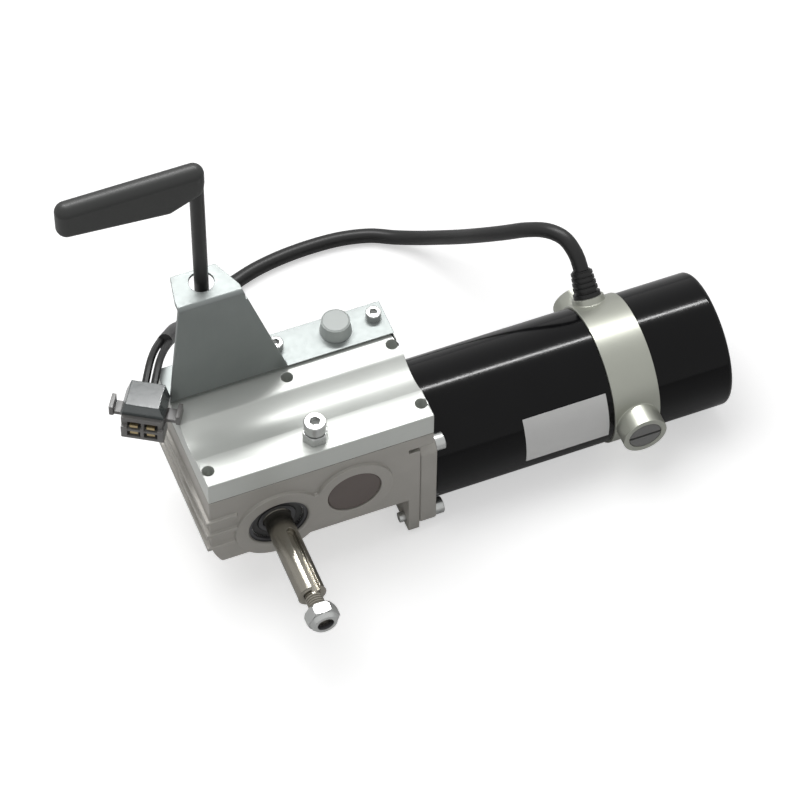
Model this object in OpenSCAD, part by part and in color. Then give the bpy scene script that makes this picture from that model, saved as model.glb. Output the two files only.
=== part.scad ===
// Shutter gearmotor with a manual release lever, in millimetres.
// Origin: where the output shaft's axis crosses the front boss face.
// +X runs along the motor to its tail, +Y away from the output shaft's free end, +Z up.

/* [Gearbox] */
// Length of the gearbox cover along the motor axis
box_l = 133; // [128:1:160]
// From the output shaft's axis to the gearbox's free end
box_left = 40; // [40:0.5:46]
// Depth of the gearbox, front to back
box_w = 84; // [82:1:100]
// Height of the cover plate
cover_h = 16.7; // [13:0.1:22]
// Top of the housing above the output shaft
housing_top = 36.5; // [36:0.5:48]
// How far the bearing bosses stand out of the front face
boss_proud = 2; // [1:0.5:4]
// Thickness of the housing's cast walls
wall = 3.5; // [3:0.1:4]
// Thickness of the sealing gasket under the cover
gasket_t = 0.5; // [0.3:0.1:1]
// Width of the front land on the cover
ledge_w = 18.7; // [17:0.1:21]
// Width of the hollow groove along the cover
groove_w = 27.3; // [22:0.1:30]
// Depth of that groove
groove_depth = 4; // [2:0.1:4.5]
// Distance between neighbouring mounting holes along the cover
hole_pitch = 62.6; // [50:0.1:66]
// Distance between the two rows of mounting holes
row_gap = 44; // [40:0.5:50]
// Core diameter of the M8 mounting holes
tap_d = 6.6; // [5:0.1:7]
// Depth of the mounting holes
tap_depth = 12; // [8:0.5:13]

/* [Output shaft] */
// Diameter of the output shaft outside the gearbox
shaft_d = 16; // [12:0.5:16.8]
// Length of the output shaft from the boss face to its shoulder
shaft_out = 52; // [30:1:80]
// Diameter of the threaded stub
thread_d = 10; // [8:1:12]
// Length of the threaded stub
thread_l = 20; // [18:1:30]
// Width of the keyway
keyway_w = 5; // [4:0.5:6]
// Depth of the keyway
keyway_depth = 3; // [2:0.5:4]
// Bore of the output bearings
bearing_bore = 17; // [17:0.5:18]
// Outer diameter of the output bearings
bearing_d = 35; // [34:0.5:42]
// Width of the output bearings
bearing_w = 10; // [9:0.5:10.5]

/* [Gear train] */
// From the output shaft across to the intermediate shaft
counter_x = 45; // [44.9:0.01:45.2]
// Height of the intermediate shaft above the output shaft
counter_z = 7; // [7:0.01:7.3]
// Module of the spur gears
spur_m = 1.75; // [1.7:0.01:1.75]
// Teeth of the output gear
gear_teeth = 39; // [36:1:39]
// Teeth of the pinion
pinion_teeth = 13; // [12:1:13]
// Face width of the output gear
gear_w = 11.5; // [8:0.5:12]
// Teeth of the worm wheel
wheel_teeth = 24; // [23:1:24]
// Module of the worm and its wheel
worm_m = 1.25; // [1.2:0.01:1.25]
// Face width of the worm wheel
wheel_w = 10; // [8:0.5:12]
// Length of the worm's thread
worm_l = 28; // [24:1:30]

/* [Motor] */
// Motor axis behind the front boss face
motor_y = 42; // [41:0.5:44]
// Motor axis below the output shaft
motor_drop = 14; // [14:0.1:15]
// Outer diameter of the motor tube
tube_d = 80; // [76:1:100]
// Wall of the motor tube
tube_wall = 3.5; // [2.5:0.1:5]
// Length of the motor tube
tube_l = 109; // [100:1:160]
// Width of the brush ring
ring_w = 28; // [28:0.5:36]
// How far the brush ring stands proud of the tube
ring_proud = 1.2; // [0.5:0.1:3]
// Length of the tail cover
tail_l = 46.5; // [44:0.5:60]
// Thickness of the motor's flange
flange_t = 10.3; // [8:0.1:14]
// Width of the motor's flange
flange_w = 80; // [78:1:96]
// Height of the motor's flange
flange_h = 75; // [74:1:90]
// Thickness of the gearbox's flange
box_flange_t = 7; // [5:0.5:10]
// Diameter of the brush bosses
brush_boss_d = 26.6; // [24:0.2:27.6]
// From the motor axis to the face of the brush bosses
brush_reach = 52; // [51:0.5:64]
// Diameter of the brush caps
brush_cap_d = 19.4; // [17:0.2:20]

/* [Release lever] */
// Diameter of the lever's rod
rod_d = 8; // [6:0.5:9]
// Lever axis to the left of the output shaft
lever_x = -14; // [-15:0.5:-14]
// Lever axis behind the front boss face
lever_y = 75.5; // [75:0.5:76]
// Height of the bracket's top plate above the output shaft
plate_z = 135.5; // [100:0.5:160]
// Thickness of the bracket's sheet
sheet_t = 2.2; // [1.5:0.1:3]
// Diameter of the hole in the top plate
plate_hole_d = 14.2; // [12:0.1:18]
// Length of the grip, end to end
grip_l = 82; // [60:1:100]
// Height of the grip near the rod
grip_h = 29; // [22:0.5:36]
// Thickness of the grip
grip_t = 12; // [11:0.5:18]
// Top of the grip above the output shaft
grip_top = 233; // [180:1:260]

/* [Cable] */
// Diameter of the sheathed cable
cable_d = 9; // [7:0.5:9]
// Diameter of each bare lead at the connector
lead_d = 4.4; // [3:0.1:5]

/* [Hidden] */
$fn = 64;
// Clearances: between still pieces, between turning pieces, and between pieces that move freely.
fit = 0.05;
running = 0.06;
free = 0.4;
fuse = 0.01;

front_y = boss_proud;
back_y = front_y + box_w;
box_right = box_l - box_left;
cover_top = housing_top + cover_h;
axis_z = -motor_drop;
floor_z = axis_z - tube_d / 2 - ring_proud;
motor_x = box_right - 7.7;
tube_x = motor_x + flange_t;
ring_x = tube_x + tube_l;
tail_x = ring_x + ring_w;
tail_end = tail_x + tail_l;
brush_x = ring_x + ring_w / 2;

hole_x = -box_left + 4;
hole_y = front_y + 10.4;
front_boss_r = bearing_d / 2 + 8.5;
counter_bore_r = 16;
cap_boss_r = counter_bore_r + 7;
counter_journal = 12;
worm_journal = 10;
worm_tail = 6;
armature_journal = 15;

gear_r = spur_m * gear_teeth / 2;
pinion_r = spur_m * pinion_teeth / 2;
gear_tip = gear_r + 0.75 * spur_m;
gear_hub_r = 14;
counter_core = 7;
wheel_r = worm_m * wheel_teeth / 2;
worm_r = counter_z + motor_drop - wheel_r;
gear_y = 19.5;
pocket_y = 18.5;
pocket_r = gear_tip + 0.8;
hub_end = 60.5;
dog_h = 3;
collar_y = hub_end + dog_h + 0.3;
collar_l = 12;
shaft_core = bearing_bore / 2 + 1;
stub_end = -shaft_out - thread_l + 3;
rear_bearing_y = back_y - 5;
rear_boss_end = rear_bearing_y + bearing_w + 2;
release_throw = 4;
release_pin_d = 3.4;

// Bearings: bore, outer diameter, width.
output_bearing = [bearing_bore, bearing_d, bearing_w];
counter_bearing = [counter_journal, 2 * counter_bore_r, 10];
worm_bearing = [worm_journal, 26, 8];
tail_bearing = [worm_tail, 19, 6];
armature_bearing = [armature_journal, 35, 11];
worm_bearing_x = 64;
tail_bearing_x = 18;
front_bearing_x = motor_x + 2;
rear_bearing_x = tail_x - 10.2;
counter_rear_y = back_y - 14;
wheel_bay = 62.5;

rotor_r = tube_d / 2 - tube_wall - 8.1;
rotor_x0 = tube_x + 22.4;
rotor_x1 = ring_x - 6.6;
commutator_r = 17;
magnet_out = tube_d / 2 - tube_wall - 0.1;
magnet_in = rotor_r + 0.9;

screw_y = flange_w / 2 - 6.7;
screw_z = flange_h / 2 - 6.2;

bracket_y = lever_y - 14.5;
bracket_screw_y = lever_y + 1;
bracket_holes = [hole_x + hole_pitch + 0.9, box_right - 7];
buffer_x = 63;
gland_turn = 42;
gland_x = ring_x + 11.4;
gland_end = tube_d / 2 + 20;

// Route of the cable, from the gland to where its sheath ends.
cable_route = [
    [216, 82, 31], [215.2, 89, 38], [212, 98.5, 42.6], [205.5, 108.5, 41], [197.5, 119.5, 32.5], [189, 132.5, 18.5],
    [181, 147, 3], [174, 163, -14], [167, 178, -29], [159.5, 190.5, -40.5], [149, 201.5, -48],
    [136, 210, -50.3], [119, 214, -50.3], [101, 215, -50.3], [82, 214, -50.3], [64, 211, -50.3],
    [48, 206, -50.3], [32, 199, -48.5], [18, 189, -43], [8, 177, -33], [0, 164, -20],
    [-6, 150, -2], [-12, 136, 17], [-19, 121, 35], [-28, 105, 52]
];
lead_route = [[-28, 105, 52], [-34, 96, 58.5], [-39.5, 87, 63], [-44.5, 78, 64.5], [-49.3, 69.2, 64.5]];
connector_at = [-54.2, 61.5, 53.3];
connector_turn = -32;

// ---- Helpers: prisms and round stock laid along the part's axes ----

module yz_prism(x0, x1) {
    translate([x0, 0, 0]) rotate([90, 0, 90]) linear_extrude(x1 - x0) children();
}

module xz_prism(y0, y1) {
    translate([0, y1, 0]) rotate([90, 0, 0]) linear_extrude(y1 - y0) children();
}

module round_y(x, z, y0, y1, r) {
    translate([x, y0, z]) rotate([-90, 0, 0]) cylinder(r = r, h = y1 - y0);
}

module round_x(x0, x1, r) {
    translate([x0, motor_y, axis_z]) rotate([0, 90, 0]) cylinder(r = r, h = x1 - x0);
}

module sleeve_y(x, z, y0, y1, r_in, r_out) {
    difference() {
        round_y(x, z, y0, y1, r_out);
        round_y(x, z, y0 - 1, y1 + 1, r_in);
    }
}

module sleeve_x(x0, x1, r_in, r_out) {
    difference() {
        round_x(x0, x1, r_out);
        round_x(x0 - 1, x1 + 1, r_in);
    }
}

module block(lo, hi) {
    translate(lo) cube(hi - lo);
}

// A socket head screw along +Z with the underside of its head at z = 0.
module cap_screw(d, l, head_d, head_h) {
    difference() {
        union() {
            cylinder(d = head_d, h = head_h - 0.5);
            translate([0, 0, head_h - 0.5]) cylinder(d1 = head_d, d2 = head_d - 1, h = 0.5);
            translate([0, 0, -l]) cylinder(d = d, h = l + fuse);
        }
        translate([0, 0, head_h * 0.45]) cylinder(d = d * 0.96, h = head_h, $fn = 6);
    }
}

// ---- Bearings ----

function race_t(b) = (b[1] - b[0]) * 0.14;
function ball_path(b) = (b[0] + b[1]) / 4;
function ball_r(b) = (b[1] - b[0]) / 4 - race_t(b) - running;

module outer_race(b) {
    difference() {
        cylinder(d = b[1] - 2 * fit, h = b[2]);
        translate([0, 0, -1]) cylinder(r = b[1] / 2 - race_t(b), h = b[2] + 2);
    }
}

module inner_race(b) {
    difference() {
        cylinder(r = b[0] / 2 + race_t(b), h = b[2]);
        translate([0, 0, -1]) cylinder(d = b[0] + 2 * fit, h = b[2] + 2);
    }
}

module ball_set(b, count) {
    for (i = [0 : count - 1]) {
        rotate(i * 360 / count) translate([ball_path(b), 0, b[2] / 2]) sphere(r = ball_r(b), $fn = 24);
    }
}

module on_output(y) { translate([0, y, 0]) rotate([-90, 0, 0]) children(); }
module on_counter(y) { translate([counter_x, y, counter_z]) rotate([-90, 0, 0]) children(); }
module on_motor(x) { translate([x, motor_y, axis_z]) rotate([0, 90, 0]) children(); }

// ---- Gear teeth: involute flanks with stub tips and a little backlash ----

pressure = 20;
inv_pressure = tan(pressure) * 180 / PI - pressure;
function roll(rb, r) = r <= rb ? 0 : acos(rb / r);
function flank(rb, r, half) = half + inv_pressure - (tan(roll(rb, r)) * 180 / PI - roll(rb, r));
function polar(r, a) = [r * cos(a), r * sin(a)];

module spur_outline(m, teeth, backlash) {
    pitch = m * teeth / 2;
    rb = pitch * cos(pressure);
    root = pitch - 1.2 * m;
    tip = pitch + 0.75 * m;
    half = 90 / teeth - backlash / 4 / pitch * 180 / PI;
    radii = [for (k = [0 : 4]) max(root, rb) + (tip - max(root, rb)) * k / 4];
    polygon([
        for (i = [0 : teeth - 1])
            let (at = i * 360 / teeth)
            each concat(
                [polar(root, at - flank(rb, radii[0], half))],
                [for (k = [0 : 4]) polar(radii[k], at - flank(rb, radii[k], half))],
                [for (k = [4 : -1 : 0]) polar(radii[k], at + flank(rb, radii[k], half))],
                [polar(root, at + flank(rb, radii[0], half))]
            )
    ]);
}

// ---- Gearbox castings ----

module body_section(inset) {
    polygon([
        [front_y + inset, housing_top], [front_y + inset, -21], [front_y + 24 + inset, floor_z + inset],
        [back_y - inset, floor_z + inset], [back_y - inset, housing_top]
    ]);
}

// Front view: the free end is round about the output shaft, then slopes down to the base.
module body_outline(inset) {
    r = box_left - inset;
    base = floor_z + inset;
    slope_x = r * (sqrt(2) + base / r);
    right = motor_x - box_flange_t + fuse;
    circle(r = r);
    translate([-r, 0]) square([r + right, housing_top]);
    polygon([[-r * cos(45), -r * sin(45)], [-slope_x, base], [right, base], [right, fuse], [0, fuse]]);
}

module end_fins() {
    for (top = [21, 9, -3]) {
        difference() {
            block([-box_left - 2.5, 0.4, top - 3], [-24, back_y - 4, top]);
            block([-box_left + 1, front_y + 1, top - 4], [0, back_y + 1, top + 1]);
        }
    }
}

module gear_cavity() {
    round_y(0, 0, pocket_y, pocket_y + 14.5, pocket_r);
    block([-pocket_r, pocket_y, 0], [pocket_r, pocket_y + 14.5, housing_top + 1]);
    round_y(counter_x, counter_z, pocket_y, pocket_y + 14.5, pinion_r + 3);
    block([counter_x - 14, pocket_y, counter_z], [counter_x + 14, pocket_y + 14.5, housing_top + 1]);
    difference() {
        intersection() {
            yz_prism(-box_left, wheel_bay) body_section(wall + 0.5);
            xz_prism(pocket_y + 14, back_y - wall - 1) body_outline(wall + 1);
            block([-box_left, pocket_y + 14, floor_z], [wheel_bay, back_y, housing_top]);
        }
        block([tail_bearing_x - 1, pocket_y + 13, floor_z], [tail_bearing_x + 7, motor_y + 13, -2.2]);
        round_y(counter_x, counter_z, counter_rear_y, back_y, counter_bore_r + 3);
    }
    block([-box_left + wall + 1, pocket_y + 14.4, 20], [wheel_bay, back_y - wall - 1, housing_top + 1]);
    block([66, front_y + 12, 20], [motor_x - 3.5, back_y - 6, housing_top + 1]);
}

module gearbox_housing() {
    color([0.77, 0.76, 0.73])
    difference() {
        union() {
            intersection() {
                yz_prism(-box_left, motor_x) body_section(0);
                xz_prism(front_y, back_y) body_outline(0);
            }
            block([motor_x - 30, front_y, 27], [box_right, back_y, housing_top]);
            block([motor_x - box_flange_t, motor_y - flange_w / 2, axis_z - flange_h / 2],
                  [motor_x, motor_y + flange_w / 2, axis_z + flange_h / 2]);
            round_y(0, 0, 0, front_y + 1, front_boss_r);
            round_y(counter_x, counter_z, 0, front_y + 1, cap_boss_r);
            block([counter_x / 2 - 13, 0, -16], [counter_x / 2 + 16, front_y + 1, 15]);
            round_y(0, 0, back_y - 1, rear_boss_end, bearing_d / 2 + 5);
            end_fins();
        }
        gear_cavity();
        // Front bores, each with a shoulder behind its bearing.
        round_y(0, 0, -1, 4 + bearing_w, bearing_d / 2);
        round_y(0, 0, 2.1, 3.7, bearing_d / 2 + 1.2);
        round_y(0, 0, 0, pocket_y + 1, bearing_d / 2 - 3);
        translate([0, -fuse, 0]) rotate([-90, 0, 0])
            cylinder(r1 = bearing_d / 2 + 1.1, r2 = bearing_d / 2, h = 1.1);
        round_y(counter_x, counter_z, -1, 13.2, counter_bore_r);
        round_y(counter_x, counter_z, 0, pocket_y + 1, counter_bore_r - 4);
        // Rear bores.
        round_y(0, 0, rear_bearing_y, rear_bearing_y + bearing_w + 0.2, bearing_d / 2);
        round_y(0, 0, back_y - wall - 3, rear_bearing_y + 1, bearing_d / 2 - 3);
        round_y(counter_x, counter_z, counter_rear_y - 1, counter_rear_y + 10.2, counter_bore_r);
        // Worm bearings and the motor's spigot.
        round_x(tail_bearing_x - 2, tail_bearing_x + 6, tail_bearing[1] / 2);
        round_x(tail_bearing_x, 62, worm_r + 3.4);
        round_x(61, worm_bearing_x + 8.2, worm_bearing[1] / 2);
        round_x(worm_bearing_x, motor_x + 1, worm_bearing[1] / 2 - 2.6);
        round_x(motor_x - box_flange_t, motor_x + 1, tube_d / 2 - 13);
        // Tapped holes for the flange screws.
        for (sy = [-1, 1], sz = [-1, 1]) {
            translate([motor_x - 12, motor_y + sy * screw_y, axis_z + sz * screw_z])
                rotate([0, 90, 0]) cylinder(d = 6 + 2 * fit, h = 14);
        }
        // Tapped holes for the bracket screws.
        for (x = bracket_holes) {
            translate([x, bracket_screw_y, housing_top - 12]) cylinder(d = 5 + 2 * fit, h = 20);
        }
    }
}

module cover_section() {
    groove_r = (groove_w * groove_w / 4 + groove_depth * groove_depth) / 2 / groove_depth;
    difference() {
        translate([front_y, housing_top + gasket_t]) square([box_w, cover_h - gasket_t]);
        translate([front_y + ledge_w + groove_w / 2, cover_top - groove_depth + groove_r])
            circle(r = groove_r, $fn = 128);
    }
}

module mounting_holes(d, depth) {
    for (p = [[0, 0], [1, 0], [2, 0], [1, 1], [2, 1]]) {
        translate([hole_x + p[0] * hole_pitch, hole_y + p[1] * row_gap, cover_top - depth])
            cylinder(d = d, h = depth + 1);
    }
}

module gearbox_cover() {
    color([0.84, 0.86, 0.84])
    difference() {
        yz_prism(-box_left, box_right) cover_section();
        // The hollow underside, with columns left round each hole.
        difference() {
            block([-box_left + wall, front_y + wall, housing_top - 1],
                  [box_right - 22, back_y - wall, cover_top - groove_depth - 3.5]);
            mounting_holes(tap_d + 8, 2 * cover_h);
            translate([lever_x, lever_y, 0]) cylinder(d = rod_d + 9, h = cover_top);
            for (x = bracket_holes) {
                translate([x, bracket_screw_y, 0]) cylinder(d = 13.5, h = cover_top);
            }
        }
        mounting_holes(tap_d, tap_depth);
        translate([lever_x, lever_y, 0]) cylinder(d = rod_d + 2 * running, h = cover_top + 1);
        for (x = bracket_holes) {
            translate([x, bracket_screw_y, 0]) cylinder(d = 5.5, h = cover_top + 1);
        }
    }
}

module cover_gasket() {
    color([0.25, 0.25, 0.24])
    difference() {
        block([-box_left + 0.4, front_y + 0.4, housing_top],
              [box_right - 0.4, back_y - 0.4, housing_top + gasket_t]);
        block([-box_left + wall, front_y + wall, housing_top - 1],
              [box_right - 22, back_y - wall - 4, cover_top]);
        translate([lever_x, lever_y, 0]) cylinder(d = rod_d + 2, h = cover_top);
        for (x = bracket_holes) {
            translate([x, bracket_screw_y, 0]) cylinder(d = 5.5, h = cover_top + 1);
        }
    }
}

// ---- Release bracket and what is fixed to it ----

module bracket_section() {
    bend = 5;
    lip = 2.6;
    z0 = cover_top;
    difference() {
        union() {
            translate([bracket_y + bend, z0]) square([back_y - bracket_y - bend, sheet_t]);
            translate([bracket_y, z0 + bend]) square([sheet_t, plate_z - lip - z0 - bend]);
            translate([bracket_y + lip, plate_z - sheet_t]) square([back_y - 1.5 - bracket_y - lip, sheet_t]);
            intersection() {
                translate([bracket_y + bend, z0 + bend]) circle(r = bend);
                translate([bracket_y, z0]) square(bend);
            }
            intersection() {
                translate([bracket_y + lip, plate_z - lip]) circle(r = lip);
                translate([bracket_y, plate_z - lip]) square(lip);
            }
        }
        intersection() {
            translate([bracket_y + bend, z0 + bend]) circle(r = bend - sheet_t);
            translate([bracket_y, z0]) square(bend);
        }
        intersection() {
            translate([bracket_y + lip, plate_z - lip]) circle(r = lip - sheet_t);
            translate([bracket_y, plate_z - lip]) square(lip);
        }
    }
}

module bracket_front() {
    polygon([
        [-box_left - 0.5, cover_top - 1], [box_right + 1, cover_top - 1], [box_right + 1, cover_top + sheet_t],
        [29.4, cover_top + sheet_t], [4.4, plate_z + 1], [-32, plate_z + 1]
    ]);
}

module release_bracket() {
    color([0.55, 0.57, 0.55])
    difference() {
        intersection() {
            yz_prism(-box_left, box_right) bracket_section();
            xz_prism(bracket_y - 1, back_y + 1) bracket_front();
            union() {
                block([-box_left - 1, 0, 0], [box_right + 1, back_y + 1, plate_z - 8]);
                translate([0, 0, plate_z - 8]) linear_extrude(10)
                    polygon([[-33, bracket_y - 1], [6, bracket_y - 1], [6, bracket_y + 2.5],
                             [-3.5, back_y], [-28.5, back_y], [-33, bracket_y + 2.5]]);
            }
        }
        translate([lever_x, lever_y, plate_z - 4]) cylinder(d = plate_hole_d, h = 8);
        translate([lever_x, lever_y, cover_top - 1]) cylinder(d = rod_d + 2, h = sheet_t + 2);
        for (x = bracket_holes) {
            translate([x, bracket_screw_y, cover_top - 1]) cylinder(d = 5.5, h = sheet_t + 2);
        }
        translate([buffer_x, lever_y, cover_top - 1]) cylinder(d = 6.1, h = sheet_t + 2);
    }
}

module bracket_screws() {
    color([0.72, 0.73, 0.72])
    for (x = bracket_holes) {
        translate([x, bracket_screw_y, cover_top + sheet_t]) cap_screw(5, cover_h + sheet_t + 10, 9, 5);
    }
}

module stop_buffer() {
    color([0.78, 0.81, 0.79])
    translate([buffer_x, lever_y, cover_top + sheet_t]) {
        cylinder(d1 = 18.4, d2 = 15.8, h = 8.5);
        translate([0, 0, 8.5 - fuse]) cylinder(d1 = 15.8, d2 = 14.6, h = 0.6);
        translate([0, 0, -sheet_t]) cylinder(d = 6, h = sheet_t + 1);
    }
}

module adjusting_screw() {
    color([0.7, 0.71, 0.7])
    translate([hole_x + hole_pitch, hole_y, cover_top + 7.6])
        cap_screw(tap_d - 2 * fit, 7.6 + tap_depth - 1, 12.6, 7.4);
}

module adjusting_locknut() {
    color([0.7, 0.71, 0.7])
    translate([hole_x + hole_pitch, hole_y, cover_top])
    difference() {
        intersection() {
            cylinder(d = 15, h = 6.8, $fn = 6);
            union() {
                cylinder(d1 = 13.4, d2 = 15.4, h = 0.8);
                translate([0, 0, 0.8 - fuse]) cylinder(d = 15.4, h = 5.2 + 2 * fuse);
                translate([0, 0, 6]) cylinder(d1 = 15.4, d2 = 13.4, h = 0.8);
            }
        }
        translate([0, 0, -1]) cylinder(d = tap_d + fit, h = 10);
    }
}

// ---- Bearings, cap and circlip ----

module bearing_cap() {
    color([0.42, 0.38, 0.36])
    on_counter(0.8) {
        cylinder(r1 = counter_bore_r - 0.7, r2 = counter_bore_r - fit, h = 0.6);
        translate([0, 0, 0.6 - fuse]) cylinder(r = counter_bore_r - fit, h = 1.5);
    }
}

module output_bearing_ring() {
    color([0.66, 0.66, 0.65]) on_output(4) outer_race(output_bearing);
}

module output_circlip() {
    color([0.3, 0.3, 0.31])
    on_output(2.2)
    difference() {
        cylinder(r = bearing_d / 2 + 1, h = 1.4);
        translate([0, 0, -1]) cylinder(r = bearing_d / 2 - 2, h = 4);
        rotate(60) translate([bearing_d / 2 - 3, -2, -1]) cube([8, 4, 4]);
    }
}

module inner_bearing_rings() {
    color([0.66, 0.66, 0.65]) {
        on_output(rear_bearing_y) outer_race(output_bearing);
        on_counter(3.1) outer_race(counter_bearing);
        on_counter(counter_rear_y) outer_race(counter_bearing);
        on_motor(worm_bearing_x) outer_race(worm_bearing);
        on_motor(tail_bearing_x) outer_race(tail_bearing);
        on_motor(front_bearing_x) outer_race(armature_bearing);
        on_motor(rear_bearing_x) outer_race(counter_bearing);
    }
}

module bearing_balls() {
    color([0.8, 0.8, 0.8]) {
        on_output(4) ball_set(output_bearing, 9);
        on_output(rear_bearing_y) ball_set(output_bearing, 9);
        on_counter(3.1) ball_set(counter_bearing, 7);
        on_counter(counter_rear_y) ball_set(counter_bearing, 7);
        on_motor(worm_bearing_x) ball_set(worm_bearing, 7);
        on_motor(tail_bearing_x) ball_set(tail_bearing, 6);
        on_motor(front_bearing_x) ball_set(armature_bearing, 8);
        on_motor(rear_bearing_x) ball_set(counter_bearing, 7);
    }
}

// ---- Output shaft group ----

module output_shaft() {
    color([0.62, 0.6, 0.55])
    difference() {
        union() {
            on_output(4) cylinder(d = bearing_bore, h = bearing_w + 1);
            on_output(4 + bearing_w) cylinder(r = shaft_core, h = rear_bearing_y - 4 - bearing_w);
            on_output(rear_bearing_y - 1) cylinder(d = bearing_bore, h = bearing_w + 1);
            on_output(1 - shaft_out) cylinder(d = shaft_d, h = shaft_out + 3.5);
            on_output(-shaft_out) cylinder(d1 = shaft_d - 2, d2 = shaft_d, h = 1 + fuse);
            on_output(stub_end + 1) cylinder(d = thread_d - 0.6, h = -shaft_out - stub_end);
            on_output(stub_end) cylinder(d1 = thread_d - 2.4, d2 = thread_d - 0.6, h = 1 + fuse);
        }
        // Keyway, open at the shoulder and rounded at its inner end.
        rotate([0, 18, 0]) {
            block([-keyway_w / 2, -shaft_out - 1, shaft_d / 2 - keyway_depth],
                  [keyway_w / 2, -12, shaft_d]);
            translate([0, -12, shaft_d / 2 - keyway_depth]) cylinder(d = keyway_w, h = shaft_d);
        }
        for (turn = [0, 180]) {
            rotate([0, turn, 0])
                block([-2, collar_y, shaft_core - 2.5], [2, rear_bearing_y - 1, shaft_core + 2]);
        }
    }
}

module output_bearing_inners() {
    color([0.7, 0.7, 0.69]) {
        on_output(4) inner_race(output_bearing);
        on_output(rear_bearing_y) inner_race(output_bearing);
    }
}

module dogs(r0, r1, h, start) {
    for (i = [0 : 2]) {
        rotate(start + i * 120) rotate_extrude(angle = 52) translate([r0, 0]) square([r1 - r0, h]);
    }
}

module output_gear() {
    color([0.45, 0.45, 0.46])
    difference() {
        union() {
            on_output(gear_y) linear_extrude(gear_w) spur_outline(spur_m, gear_teeth, 0.5);
            on_output(gear_y) cylinder(r = gear_hub_r, h = hub_end - gear_y);
            on_output(hub_end - fuse) dogs(shaft_core + 0.6, gear_hub_r - 0.4, dog_h, 0);
        }
        on_output(gear_y - 1) cylinder(r = shaft_core + fit, h = hub_end - gear_y + 6);
    }
}

module clutch_keys() {
    color([0.5, 0.5, 0.5])
    for (turn = [0, 180]) {
        rotate([0, turn, 0])
            block([-2 + fit, collar_y + fit, shaft_core - 2.5 + fit],
                  [2 - fit, rear_bearing_y - 1 - fit, shaft_core + 1.5]);
    }
}

module output_nut() {
    color([0.68, 0.69, 0.7])
    on_output(-shaft_out - thread_l) {
        difference() {
            union() {
                intersection() {
                    translate([0, 0, 2.6]) cylinder(d = 19.6, h = 7.4, $fn = 6);
                    translate([0, 0, 2.6]) cylinder(d1 = 17, d2 = 22, h = 2.5);
                }
                intersection() {
                    translate([0, 0, 4.6]) cylinder(d = 19.6, h = 5.4, $fn = 6);
                    translate([0, 0, 4.6]) cylinder(d1 = 23, d2 = 17.6, h = 5.4);
                }
                cylinder(d1 = 13.6, d2 = 16, h = 2.6 + fuse);
            }
            translate([0, 0, -1]) cylinder(d = thread_d - 0.6 + fit, h = 14);
        }
    }
}

module clutch_collar() {
    color([0.42, 0.42, 0.43])
    difference() {
        union() {
            on_output(collar_y) cylinder(r = 20, h = collar_l);
            on_output(collar_y - dog_h + 0.4) dogs(shaft_core + 0.6, gear_hub_r - 0.4, dog_h, 60);
        }
        on_output(collar_y - dog_h - 1) cylinder(r = shaft_core + running, h = collar_l + dog_h + 3);
        // Groove for the lever's pin, wide enough for the pin's swing.
        on_output(lever_y - release_throw - release_pin_d / 2 - 1) difference() {
            cylinder(r = 22, h = release_pin_d + 1.4);
            translate([0, 0, -1]) cylinder(r = 12, h = release_pin_d + 4);
        }
        for (turn = [0, 180]) {
            rotate([0, turn, 0])
                block([-2.3, collar_y - dog_h - 2, 0], [2.3, collar_y + collar_l + 2, shaft_core + 1.9]);
        }
    }
}

// ---- Intermediate shaft group ----

module intermediate_shaft() {
    color([0.5, 0.5, 0.5]) {
        on_counter(3.1) cylinder(d = counter_journal, h = 10.2);
        on_counter(13.2) cylinder(r = counter_core, h = counter_rear_y - 13.3);
        on_counter(counter_rear_y - 0.2) cylinder(d = counter_journal, h = 10.2);
    }
}

module counter_bearing_inners() {
    color([0.7, 0.7, 0.69]) {
        on_counter(3.1) inner_race(counter_bearing);
        on_counter(counter_rear_y) inner_race(counter_bearing);
    }
}

// From the output gear's axis, the angle of the line of centres.
mesh_angle = -atan2(counter_z, counter_x);

// How far the output gear's nearest tooth lies off the line of centres, carried over to the pinion.
function pinion_phase() =
    let (pitch = 360 / gear_teeth, off = mesh_angle - pitch * round(mesh_angle / pitch))
    off * gear_teeth / pinion_teeth;

// The pinion is turned so that a tooth space faces that tooth.
module pinion() {
    color([0.48, 0.48, 0.49])
    difference() {
        on_counter(gear_y - 0.3)
            rotate(mesh_angle + 180 - 180 / pinion_teeth + pinion_phase())
            linear_extrude(gear_w + 0.6) spur_outline(spur_m, pinion_teeth, 0.5);
        on_counter(gear_y - 2) cylinder(r = counter_core + fit, h = gear_w + 4);
    }
}

module worm_wheel() {
    lead_twist = wheel_w * worm_m * 2 / (2 * worm_r) / wheel_r * 180 / PI;
    color([0.72, 0.58, 0.32])
    on_counter(motor_y - wheel_w / 2)
    difference() {
        rotate(-lead_twist / 2 + wheel_phase)
            linear_extrude(wheel_w, twist = -lead_twist, slices = 4)
            spur_outline(worm_m, wheel_teeth, 1);
        translate([0, 0, -1]) cylinder(r = counter_core + fit, h = wheel_w + 2);
    }
}
wheel_phase = 90.8;

// ---- Worm and armature group ----

worm_lead = 2 * PI * worm_m;

module worm_thread() {
    turns = worm_l / worm_lead;
    steps = 32;
    root = worm_r - 1.1 * worm_m;
    tip = worm_r + 0.7 * worm_m;
    // Axial distance from the nearest thread crest, over one pitch.
    function crest(a) = let (p = worm_lead / 2, s = a / 360 * worm_lead) abs(s - p * round(s / p));
    function radius(a) = max(root, min(tip, worm_r + (worm_lead / 8 - 0.18 - crest(a)) / tan(pressure)));
    linear_extrude(worm_l, twist = -360 * turns, slices = ceil(turns * 12))
        polygon([for (i = [0 : steps - 1]) polar(radius(i * 360 / steps), i * 360 / steps)]);
}

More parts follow.
